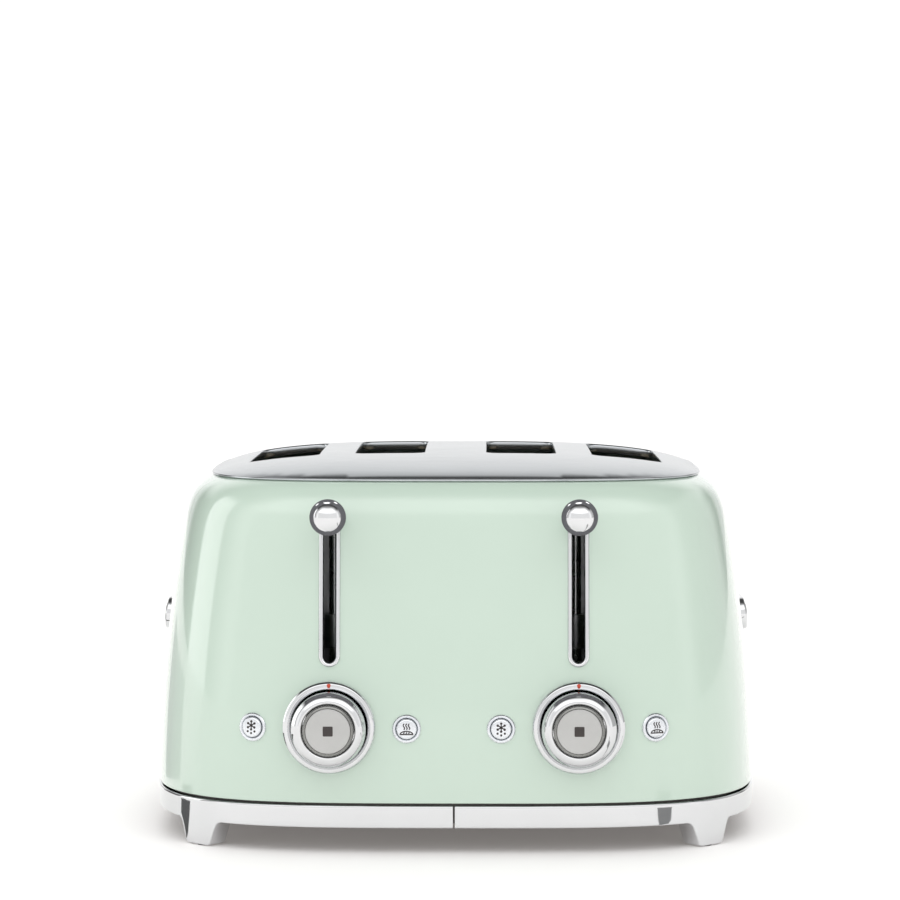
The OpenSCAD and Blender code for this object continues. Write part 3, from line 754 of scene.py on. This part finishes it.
def base_band(name, side):
    """Half of the chrome band with its two feet, cast in one, from the front seam to the rear one."""
    a, b = BAND_W / 2, BAND_D / 2
    t = np.linspace(-math.pi / 2, math.pi / 2, 8001)
    run = oval_run(a, b, t)
    feet = [np.interp(turn, t, run) for turn in (-math.pi / 4, math.pi / 4)]
    sections = []
    for s, low in band_stops(run[-1], feet):
        near = min(abs(s - foot) for foot in feet)
        deep = BAND_T + (FOOT_T - BAND_T) * np.clip((15.6 - near) / 2.5, 0, 1)
        angle = np.interp(s, run, t)
        ring = []
        for o, z in band_section(low, deep):
            px, py = oval(a - o, b - o, angle)
            ring.append((side * px, py, z))
        sections.append(ring)
    return make(f"chrome_band_{name}", swept(sections), CASING, CHROME,
                [f"base_trim_{name}"], sharp=50)


# ---------- levers ----------


def lever_trim(name, side):
    """Half-round frame of a lever's slot, which follows the front wall, and the neck behind it."""
    low, high = body_box(f"lever_slot_trim_{name}")
    outer = (high[0] - low[0]) / 2
    inner = 3.2
    bottom, top = low[2] + outer, high[2] - outer
    section = [(outer, -0.5), (outer, 0.1), (outer - 0.12, 0.45), (outer - 0.45, 0.95), (outer - 0.85, 1.25),
               (outer - 1.25, 1.34), (outer - 1.65, 1.25), (outer - 2.05, 0.95), (inner + 0.12, 0.45),
               (inner, -0.1), (inner, -4.6), (inner + 1.0, -4.6), (inner + 1.0, -0.5)]
    path = [(1, 0, z) for z in np.linspace(bottom, top, 30)[:-1]]
    path += [(math.cos(t), math.sin(t), top) for t in np.linspace(0, math.pi, 20)[:-1]]
    path += [(-1, 0, z) for z in np.linspace(top, bottom, 30)[:-1]]
    path += [(math.cos(t), math.sin(t), bottom) for t in np.linspace(math.pi, 2 * math.pi, 20)[:-1]]
    points = []
    for across, up, z0 in path:
        for w, proud in section:
            x, z = side * UNIT_X + across * w, z0 + up * w
            points.append((x, -face_at(x, z) - proud, z))
    faces = grid_faces(len(path), len(section), back=True)
    return make(f"slot_frame_{name}", (np.array(points), faces), CASING, CHROME,
                [f"lever_slot_trim_{name}"], sharp=50)


def lever_ball(name):
    """Polished ball with the short collar that grips the arm."""
    low, high = body_box(f"lever_ball_{name}")
    r = (high[0] - low[0]) / 2
    middle = ((low[0] + high[0]) / 2, low[1] + r, (low[2] + high[2]) / 2)
    reach = high[1] - middle[1]
    collar = 5.6
    start = math.acos(-math.sqrt(1 - (collar / r) ** 2))
    profile = [(r * math.sin(a), -r * math.cos(a)) for a in np.linspace(0, start, 48)]
    profile[0] = (0, -r)
    profile += [(collar - 0.25, profile[-1][1] + 0.5), (collar, profile[-1][1] + 0.9), (collar, reach - 0.5),
                (collar - 0.15, reach - 0.15), (collar - 0.5, reach), (0, reach)]
    return make(f"ball_knob_{name}", lathe(profile, 128), f"lever_unit_{name}", BALL,
                [f"lever_ball_{name}"], sharp=35, origin=middle)


# ---------- dials ----------


KNOB_HOLE = 13.85
STOP_FACE = 11.7


def dial_place(name, side):
    """Middle of the bezel's front, its radius and its depth."""
    low, high = body_box(f"dial_bezel_{name}")
    return (side * UNIT_X, low[1], (low[2] + high[2]) / 2), (high[0] - low[0]) / 2, high[1] - low[1]


def bezel_depth(r, outer):
    """Depth of the bezel's face at radius r."""
    return np.interp(r, *np.array(bezel_face(outer)[::-1]).T)


def bezel_face(outer):
    """The bezel's face from its rim inward: a polished roll, a fine step and a dished inner ring."""
    corners = [(outer, 3.4, 0), (outer, 1.7, 0.8), (outer - 1.0, 0.35, 1.2), (outer - 2.5, 0.02, 1.0),
               (outer - 3.2, 0.35, 0.3), (outer - 3.5, 0.42, 0.2), (outer - 4.4, 1.7, 1.2),
               (outer - 4.45, 3.2, 0)]
    return rounded(corners, steps=5, closed=False)


def dial(name, side):
    """Bezel with its index, the domed ring that turns in it, and the stop button in the middle."""
    centre, outer, deep = dial_place(name, side)
    face = bezel_face(outer)
    inner = face[-1][0]
    profile = face + [(inner, 6), (inner + 1, 6), (inner + 1, deep), (outer, deep)]
    make(f"bezel_ring_{name}", lathe(profile, 160, closed=True), CASING, CHROME,
         [f"dial_bezel_{name}"], sharp=28, origin=centre)
    make_mark(name, centre, outer)
    low, high = body_box(f"dial_knob_{name}")
    r = (high[0] - low[0]) / 2
    depth = high[1] - low[1]
    dome = rounded([(r, 9.0, 0), (r, 3.9, 1.6), (17.6, 1.4, 5.0), (15.6, 0.1, 3.0), (14.5, 0.05, 0.4),
                    (KNOB_HOLE, 0.5, 0.3), (KNOB_HOLE, 13, 0)], 8, closed=False)
    profile = [(5.6, 13), (5.6, 15.4), (r, 15.4), *dome]
    knob = lathe(profile, 160, closed=True)
    shaft = lathe([(4.5, 15.2), (4.5, depth), (3.2, depth), (3.2, 13), (5.6, 13)], 64)
    origin = (centre[0], low[1], centre[2])
    make(f"knob_ring_{name}", joined(knob, shaft), f"dial_{name}", CHROME,
         [f"dial_knob_{name}"], sharp=35, origin=origin)
    stop_button(name, centre)


def make_mark(name, centre, outer):
    """Small inlaid index at the top of the bezel: a rounded head that narrows inward."""
    half = [(outer - 4.1, 0.5), (outer - 3.0, 0.62), (outer - 2.2, 0.95), (outer - 1.5, 1.05),
            (outer - 1.1, 0.75), (outer - 0.95, 0.25)]
    sections = []
    for r, w in half:
        d = bezel_depth(r, outer)
        sections.append([(-w, d - 0.1, r), (0, d - 0.16, r), (w, d - 0.1, r),
                         (w, d + 0.5, r), (0, d + 0.5, r), (-w, d + 0.5, r)])
    make(f"index_mark_{name}", swept(sections), CASING, MARK, sharp=35, origin=centre)


def stop_button(name, centre):
    """The button in the middle of the dial: satin face, a bevel painted dark grey as a painted reflection of
    the shade its slope mirrors, and the usual square for stop.
    """
    low, high = body_box(f"stop_button_{name}")
    r = (high[0] - low[0]) / 2
    depth = high[1] - low[1]
    origin = (centre[0], low[1], centre[2])
    body = f"stop_{name}"
    face = STOP_FACE
    cap = [(0, 0.12), (face - 2, 0.12), (face - 0.5, 0.1), (face - 0.1, 0.22), (face, 0.5), (face, 3),
           (2.5, 3), (2.5, depth), (0, depth)]
    make(f"stop_face_{name}", lathe(cap, 160), body, SATIN, [f"stop_button_{name}"],
         sharp=35, origin=origin)
    # The bevel's dark grey is painted reflection, not a tint of the metal.
    corners = [(face + 0.02, 0.7, 0), (face + 0.2, 0.3, 0.1), (r - 0.75, 0.75, 0.35),
               (r - 0.15, 1.5, 0.3), (r - 0.15, 8, 0), (face, 8, 0)]
    make(f"stop_bevel_{name}", lathe(rounded(corners, 3), 160, closed=True), body, DARK_REFLECTION_BEVEL,
         sharp=28, origin=origin)
    s = 2.6
    outline = rounded([(-s, -s, 0.5), (s, -s, 0.5), (s, s, 0.5), (-s, s, 0.5)], 4)
    make(f"stop_symbol_{name}", prism(outline, 0.03, 0.4), body, INK, sharp=30,
         origin=origin)


# ---------- push buttons ----------


# The buttons' stems end at their switches, this far in front of the body's middle, less the gap.
SWITCH_Y, SWITCH_GAP = 137, 2.7


def push_buttons():
    """Four silver caps with their symbols, each in its own ring. The first ring stands for them all."""
    for node in BUTTON_X:
        kind, name = node.split("_button_")
        x, z = button_place(node)
        ring = [(7.5, 0.3, 0), (7.5, -0.5, 0.4), (6.9, -1.1, 0.3), (6.3, -1.15, 0.2), (5.75, -0.7, 0.15),
                (5.75, 5, 0), (6.8, 5, 0), (6.8, 0.3, 0)]
        stands_for = ["button_bezels"] if (kind, name) == ("defrost", "left") else []
        make(f"button_ring_{kind}_{name}", on_face(lathe(rounded(ring, 3), 96, closed=True), x, z), CASING,
             CAP, stands_for, sharp=35)
        end = (face_at(x, z) - SWITCH_Y) / math.cos(face_turn(x, z)) - SWITCH_GAP
        cap = [(0, -2.1), (2.5, -2.1), (4.3, -2.05), (4.75, -1.95), (5.1, -1.7), (5.35, -1.3), (5.4, -0.9),
               (5.4, 4.4), (1.6, 4.4), (1.6, end), (0, end)]
        body = f"{kind}_{name}"
        make(f"cap_{kind}_{name}", on_face(lathe(cap, 96), x, z), body, CAP, [node],
             sharp=35)
        icon = snowflake() if kind == "defrost" else warm_bun()
        make(f"icon_{kind}_{name}", on_face(icon, x, z), body, INK, sharp=35)


ICON_FRONT, ICON_BACK = -2.16, -1.9


def dot(x, z, radius):
    """A round spot of a symbol."""
    outline = [(x + px, z + pz) for px, pz in round_outline(radius, 20)]
    return prism(outline, ICON_FRONT, ICON_BACK)


def stroke(path, width):
    """A line of constant width through (x, z) points, with square ends."""
    path = np.array(path, float)
    ahead = unit(np.gradient(path, axis=0))
    aside = np.stack([-ahead[:, 1], ahead[:, 0]], axis=1) * width / 2
    outline = np.concatenate([path + aside, (path - aside)[::-1]])
    return prism(outline.tolist(), ICON_FRONT, ICON_BACK)


def snowflake():
    """Six arms with round ends and three drops under them."""
    middle = 0.9
    parts = [dot(0, middle, 0.8)]
    for k in range(6):
        a = math.radians(30 + 60 * k)
        tip = (2.1 * math.cos(a), middle + 2.1 * math.sin(a))
        parts.append(stroke([(0, middle), tip], 0.62))
        parts.append(dot(*tip, 0.66))
    for x, z in ((-1.9, -2.25), (0, -3.15), (1.9, -2.25)):
        parts.append(dot(x, z, 0.6))
    return joined(*parts)


def warm_bun():
    """Three wisps of steam over a loaf."""
    parts = []
    for x in (-1.35, 0, 1.35):
        z = np.linspace(-0.3, 2.9, 16)
        parts.append(stroke(np.stack([x + 0.36 * np.sin((z + 0.3) * 2.1), z], axis=1), 0.62))
    crust = [(3.3 * math.cos(t), -2.7 + 1.6 * math.sin(t)) for t in np.linspace(0, math.pi, 24)]
    parts.append(stroke(crust, 0.62))
    parts.append(stroke([(-3.6, -2.75), (3.6, -2.75)], 0.7))
    for x in (-1.3, 0, 1.3):
        parts.append(stroke([(x - 0.3, -2.3), (x + 0.3, -1.65)], 0.62))
    return joined(*parts)


# ---------- badges, trays ----------


BADGE_Z, BADGE_HALF_W, BADGE_R = 113, 33, 9


def side_badge(name, side):
    """Plain oval badge with a raised field inside its rim."""
    low, high = body_box(f"side_badge_{name}")
    z = (low[2] + high[2]) / 2
    tilt = math.atan((side_at(z - 1) - side_at(z + 1)) / 2)
    steps = [(0, 0), (0, 2.0), (0.25, 2.5), (0.7, 2.75), (1.3, 2.8), (1.7, 2.6), (1.95, 2.3), (2.3, 2.25),
             (2.6, 2.6), (3.2, 3.2), (4.4, 3.6), (6.2, 3.75)]
    sections = []
    for inset, up in steps:
        w, r = BADGE_HALF_W - inset, BADGE_R - inset
        sections.append([(way * (w - r) - r * math.sin(t), r * math.cos(t), up)
                         for way, first in ((-1, 0), (1, math.pi))
                         for t in np.linspace(first, first + math.pi, 24)])
    points, faces = swept(sections)
    stand = Matrix.Rotation(side * math.pi / 2, 3, "Z") @ Matrix.Rotation(math.pi / 2, 3, "X")
    points = points @ np.array(Matrix.Rotation(-side * tilt, 3, "Y") @ stand).T
    origin = (side * (side_at(BADGE_Z) + 0.35), 0, BADGE_Z)
    return make(f"plain_badge_{name}", (points, faces), CASING, CHROME, [f"side_badge_{name}"],
                sharp=45, origin=origin)


TRAY_W, TRAY_L, TRAY_WALL, TRAY_BASE = 94, 218, 6.0, 27.4
TRAY_SHEET = 0.8
PANEL_MID, GRIP_MID, GRIP_W = 31.8, 31.5, 40
ACROSS = np.linspace(0, 1, 33)


def rear_at(inset, x):
    """How far the base's outline, drawn in by inset, stands behind the body's middle at x."""
    across = abs(x) / (BAND_W / 2 - inset)
    return (BAND_D / 2 - inset) * (1 - across ** PLAN_POWER) ** (1 / PLAN_POWER)


def tray_pan(x0, x1, y0):
    """Folded pan from y0 back, and the tongue that carries the panel."""
    y1, base, sheet = y0 + TRAY_L, TRAY_BASE, TRAY_SHEET

    def outline(inset, radius):
        low_x, high_x, low_y, high_y = x0 + inset, x1 - inset, y0 + inset, y1 - inset
        return rounded([(low_x, low_y, radius), (high_x, low_y, radius),
                        (high_x, high_y, radius), (low_x, high_y, radius)], 4)

    outer, inner = outline(0, 1.5), outline(sheet, 1.0)
    floor = [(x + math.copysign(0.6, (x0 + x1) / 2 - x), y + math.copysign(0.6, (y0 + y1) / 2 - y))
             for x, y in outer]
    levels = [(floor, base), (outer, base + 0.4), (outer, base + TRAY_WALL - 0.2),
              (inner, base + TRAY_WALL - 0.2), (inner, base + sheet + 0.1)]
    n = len(outer)
    points = [(x, y, z) for ring, z in levels for x, y in ring]
    faces = grid_faces(5, n) + [tuple(range(n))[::-1], tuple(range(4 * n, 5 * n))]
    tongue = []
    for x in x0 + (x1 - x0) * ACROSS:
        lip = rear_at(0.25, x)
        tongue.append([(x, y1 - 1, base), (x, lip, base), (x, lip, base + sheet), (x, y1 - 1, base + sheet)])
    return joined((np.array(points), faces), swept(tongue))


def tray_panel(x0, x1):
    """Painted strip that closes the rear opening, a little wider than the pan, with eased ends."""
    section = rounded([(0.35, 26.8, 0), (-1.75, 26.8, 0.9), (-1.75, 36.8, 0.9), (0.35, 36.8, 0)], 4)
    sections = []
    for k in ACROSS:
        x = x0 - 2.5 + (x1 - x0 + 5) * k
        deep, tall = (1.0, 1.0) if 0 < k < 1 else (0.6, 0.9)
        sections.append([(x, rear_at(o if o > 0 else o * deep, x), PANEL_MID + (z - PANEL_MID) * tall)
                         for o, z in section])
    return swept(sections)


def tray_grip(middle):
    """Chrome pull on the panel, hollowed above and below, that shrinks towards its ends."""
    section = rounded([(-1.2, 28.7, 0.2), (-4.5, 29.3, 2.5), (-7.9, 28.9, 0.6), (-7.9, 34.3, 1.6),
                       (-4.5, 33.2, 2.5), (-1.2, 34.3, 0.2)], 4)
    sections = []
    for k in ACROSS:
        x = middle - GRIP_W / 2 + GRIP_W * k
        size = math.sqrt(max(0.06, 1 - max(0, abs(2 * k - 1) - 0.85) ** 2 / 0.15 ** 2))
        deep, tall = 0.3 + 0.7 * size, 0.4 + 0.6 * size
        sections.append([(x, rear_at(-1.2 + (o + 1.2) * deep, x), GRIP_MID + (z - GRIP_MID) * tall)
                         for o, z in section])
    return swept(sections)


def crumb_tray(name, side):
    """Folded pan, and the painted panel that closes the rear opening, with its chrome grip."""
    low = body_box(f"crumb_tray_{name}")[0]
    middle = side * TRAY_X
    x0, x1 = middle - TRAY_W / 2, middle + TRAY_W / 2
    body = f"tray_{name}"
    make(f"tray_pan_{name}", tray_pan(x0, x1, low[1]), body, ZINC, [f"crumb_tray_{name}"],
         sharp=35)
    make(f"tray_panel_{name}", tray_panel(x0, x1), body, ENAMEL, sharp=50)
    make(f"tray_grip_{name}", tray_grip(middle), body, CHROME, sharp=45)


# ---------- studio ----------


LENS = 138.8
EYE = Vector((16.8, -1963, 304.3))
DOWN, LEFT = 2.95, 0.598
CARD_R, BALL_HOLE_R = 85, 9.9
FLOOR_HALF = 30  # metres
RADIAN = 57.2958  # degrees
# Strips on the floor that only mirrors see: start x and y, first and last bearing from straight ahead,
# nearest and farthest reach along it, and grey.
FLOOR_STRIPS = {
    "right": (110, -152, 41.5, 53.5, 10, 230, 0.26),
    "left": (-143, -126, -101, -117, 10, 215, 0.12),
    "side": (-150, -110, -119, -150, 230, 3000, 0.42),
}


def camera():
    """Long lens a little above the toaster and a little right of its middle."""
    data = bpy.data.cameras.new("camera")
    data.lens = LENS
    data.sensor_width = 36
    data.clip_end = 100
    view = placed("camera", data)
    view.location = (EYE + Vector((0, MID_Y, 0))) * MM
    view.rotation_euler = (math.radians(90 - DOWN), 0, math.radians(LEFT))
    bpy.context.scene.camera = view


def sky():
    """Studio surround: bright before and behind the toaster, with soft strips at its sides."""
    world = bpy.data.worlds.new("studio")
    bpy.context.scene.world = world
    world.use_nodes = True
    tree = world.node_tree
    place = tree.nodes.new("ShaderNodeTexCoord")
    split = tree.nodes.new("ShaderNodeSeparateXYZ")
    tree.links.new(place.outputs["Generated"], split.inputs["Vector"])

    def step(value, low, high, out_low, out_high):
        """out_low below low, out_high above high, and a smooth change between them."""
        return ranged(tree, value, out_low, out_high, low, high, "SMOOTHSTEP")

    def math_node(kind, one, two):
        node = tree.nodes.new("ShaderNodeMath")
        node.operation = kind
        for socket, value in zip(node.inputs, (one, two)):
            if isinstance(value, (int, float)):
                socket.default_value = value
            else:
                tree.links.new(value, socket)
        return node.outputs["Value"]

    def times(one, two):
        return math_node("MULTIPLY", one, two)

    def plus(one, two):
        return math_node("ADD", one, two)

    def window(value, start, end, soft, strength):
        """strength from start to end, with soft edges, and nothing elsewhere."""
        rise = step(value, start - soft, start + soft, 0.0, strength)
        fall = step(value, end - soft, end + soft, 1.0, 0.0)
        return times(rise, fall)

    x, y, z = (split.outputs[k] for k in "XYZ")
    level = window(z, -0.5, 0.6, 0.1, 1.0)
    bearing = times(math_node("ARCTAN2", x, times(y, -1.0)), RADIAN)
    front = times(step(y, -0.42, 0.0, 0.92, 0.0), step(z, 0.84, 0.97, 1.0, 0.4))
    high = times(window(z, 0.50, 0.86, 0.08, 0.75), step(y, -0.5, -0.25, 1.0, 0.0))
    strip = times(window(bearing, -118, -90, 1.5, 1.75), level)
    right = times(window(bearing, 68, 138, 8, 0.5), level)
    left = times(window(bearing, -90, -62, 4, 0.28), level)
    above = times(step(y, 0.50, 0.88, 0.0, 1.0), step(z, 0.25, 0.45, 0.0, 1.0))
    level_back = times(step(y, 0.80, 0.88, 0.0, 1.0),
                       step(math_node("ABSOLUTE", x, 0.0), 0.25, 0.45, 1.0, 0.6))
    back = math_node("MAXIMUM", above, level_back)
    total = plus(plus(plus(front, high), plus(plus(strip, left), right)), plus(back, 0.08))
    background = tree.nodes["Background"]
    tree.links.new(total, background.inputs["Strength"])
    background.inputs["Color"].default_value = (1.0, 1.0, 1.0, 1)


def studio():
    """Pale floor that gives a little light of its own, and a soft overhead light."""
    material, _, shader = surface("studio_floor", (0.86, 0.855, 0.85), (0.88, 0.875, 0.87), 0,
                                  (0.55, 0.65), 60, patches=2)
    shader.inputs["Emission Color"].default_value = (1.0, 0.94, 0.90, 1)
    shader.inputs["Emission Strength"].default_value = 0.14
    half = FLOOR_HALF
    stage_piece("floor", [(-half, -half, 0), (half, -half, 0), (half, half, 0), (-half, half, 0)], material)
    data = bpy.data.lights.new("overhead_fill", "SUN")
    data.energy = 1.85
    data.angle = math.radians(110)
    fill = placed("overhead_fill", data)
    fill.rotation_euler = (math.radians(-22), 0, 0)
    fill.visible_glossy = False
    bpy.context.scene.view_settings.view_transform = "Standard"


def stage_piece(name, corners, material):
    """One flat face of the studio, through these corners in metres."""
    mesh = bpy.data.meshes.new(name)
    mesh.from_pydata(corners, [], [tuple(range(len(corners)))])
    mesh.materials.append(material)
    piece = placed(name, mesh)
    return piece


def card(name, outline, colour, glow):
    """Flat studio card that only mirrors can see, and only from its front, as (x, y, z) corners."""
    material, tree, shader = new_material(name, 0, 1.0, colour)
    shader.inputs["Specular IOR Level"].default_value = 0
    shader.inputs["Emission Color"].default_value = (1, 1, 1, 1)
    shader.inputs["Emission Strength"].default_value = glow
    side = tree.nodes.new("ShaderNodeNewGeometry")
    clear = tree.nodes.new("ShaderNodeBsdfTransparent")
    mix = tree.nodes.new("ShaderNodeMixShader")
    tree.links.new(side.outputs["Backfacing"], mix.inputs[0])
    tree.links.new(shader.outputs["BSDF"], mix.inputs[1])
    tree.links.new(clear.outputs["BSDF"], mix.inputs[2])
    tree.links.new(mix.outputs["Shader"], tree.nodes["Material Output"].inputs["Surface"])
    corners = [(x * MM, (y + MID_Y) * MM, z * MM) for x, y, z in outline]
    piece = stage_piece(name, corners, material)
    for key in ("visible_camera", "visible_diffuse", "visible_shadow", "visible_transmission"):
        setattr(piece, key, False)


def cards():
    """Dark card with three bright windows behind each ball, and three dark strips on the floor."""
    for name, side in SIDES.items():
        low, high = body_box(f"lever_ball_{name}")
        x, z = side * UNIT_X, (low[2] + high[2]) / 2
        y = low[1] + (high[0] - low[0]) / 2 + 4
        ring = [(math.cos(t), math.sin(t)) for t in np.linspace(0, 2 * math.pi, 49)]
        outline = [(x + CARD_R * c, y, z + CARD_R * s) for c, s in ring]
        outline += [(x + BALL_HOLE_R * c, y, z + BALL_HOLE_R * s) for c, s in ring[::-1]]
        card(f"dark_card_{name}", outline, (0.15, 0.15, 0.16), 0.0)
        for dx, dz, w, h in ((-2, 38, 13, 26), (-11, 13, 3.5, 3.5), (7.5, 14, 3.5, 3.5)):
            corners = [(x + dx + i * w / 2, y - 0.5, z + dz + k * h / 2)
                       for i, k in ((-1, -1), (1, -1), (1, 1), (-1, 1))]
            card(f"window_{name}_{dx}", corners, (0.9, 0.9, 0.9), 1.2)
    for name, (x, y, first, last, near, far, grey) in FLOOR_STRIPS.items():
        corners = [(x + d * math.sin(math.radians(a)), y - d * math.cos(math.radians(a)), 0.5)
                   for d, a in ((near, last), (far, last), (far, first), (near, first))]
        area = sum(a[0] * b[1] - b[0] * a[1] for a, b in zip(corners, corners[1:] + corners[:1]))
        card(f"floor_strip_{name}", corners if area > 0 else corners[::-1], (grey, grey, grey), 0.0)


camera()
sky()
studio()
cards()
dress_cad()
shell()
top_plate()
for side_name, side_sign in SIDES.items():
    base_band(side_name, side_sign)
    lever_trim(side_name, side_sign)
    lever_ball(side_name)
    dial(side_name, side_sign)
    side_badge(side_name, side_sign)
    crumb_tray(side_name, side_sign)
push_buttons()
